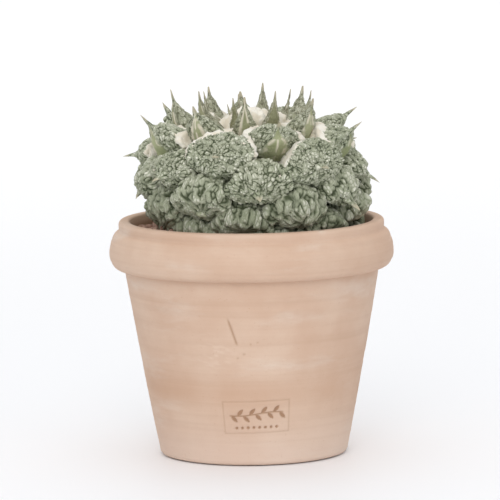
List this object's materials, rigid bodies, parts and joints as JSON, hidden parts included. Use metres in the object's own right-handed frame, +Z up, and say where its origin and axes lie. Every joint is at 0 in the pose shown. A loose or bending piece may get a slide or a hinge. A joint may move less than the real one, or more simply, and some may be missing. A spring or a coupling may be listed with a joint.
{
  "type": "potted cactus",
  "caption": "Round warty cactus with spirals of pointed wrinkled tubercles and a woolly crown, in a tapered terracotta pot with a rolled rim.",
  "frame": {"origin": "centre of the pot's foot, on the plane that the pot stands on", "axes": "+Z up along the pot's axis; -Y is the stamped front that faces the viewer, +X is the viewer's right"},
  "size_m": [0.1504, 0.1504, 0.1962],
  "materials": {
    "terracotta": "matte",
    "earth": "matte",
    "lava_gravel": "matte",
    "green_flesh": "matte",
    "warty_skin": "matte",
    "cream_wool": "matte"
  },
  "bodies": {
    "root": {"crown_wool": "cream_wool", "gravel": "lava_gravel", "pot": "terracotta", "soil": "earth", "stem_with_taproot": "green_flesh", "tubercle_01": "warty_skin", "tubercle_02": "warty_skin", "tubercle_03": "warty_skin", "tubercle_04": "warty_skin", "tubercle_05": "warty_skin", "tubercle_06": "warty_skin", "tubercle_07": "warty_skin", "tubercle_08": "warty_skin", "tubercle_09": "warty_skin", "tubercle_10": "warty_skin", "tubercle_11": "warty_skin", "tubercle_12": "warty_skin", "tubercle_13": "warty_skin", "tubercle_14": "warty_skin", "tubercle_15": "warty_skin", "tubercle_16": "warty_skin", "tubercle_17": "warty_skin", "tubercle_18": "warty_skin", "tubercle_19": "warty_skin", "tubercle_20": "warty_skin", "tubercle_21": "warty_skin", "tubercle_22": "warty_skin", "tubercle_23": "warty_skin", "tubercle_24": "warty_skin", "tubercle_25": "warty_skin", "tubercle_26": "warty_skin", "tubercle_27": "warty_skin", "tubercle_28": "warty_skin", "tubercle_29": "warty_skin", "tubercle_30": "warty_skin", "tubercle_31": "warty_skin", "tubercle_32": "warty_skin", "tubercle_33": "warty_skin", "tubercle_34": "warty_skin", "tubercle_35": "warty_skin", "tubercle_36": "warty_skin", "tubercle_37": "warty_skin", "tubercle_38": "warty_skin", "tubercle_39": "warty_skin", "tubercle_40": "warty_skin", "tubercle_41": "warty_skin", "tubercle_42": "warty_skin", "tubercle_43": "warty_skin", "tubercle_44": "warty_skin", "tubercle_45": "warty_skin", "tubercle_46": "warty_skin", "tubercle_47": "warty_skin", "tubercle_48": "warty_skin", "tubercle_49": "warty_skin", "tubercle_50": "warty_skin", "tubercle_51": "warty_skin", "tubercle_52": "warty_skin", "tubercle_53": "warty_skin", "tubercle_54": "warty_skin", "tubercle_55": "warty_skin"}
  },
  "joints": []
}
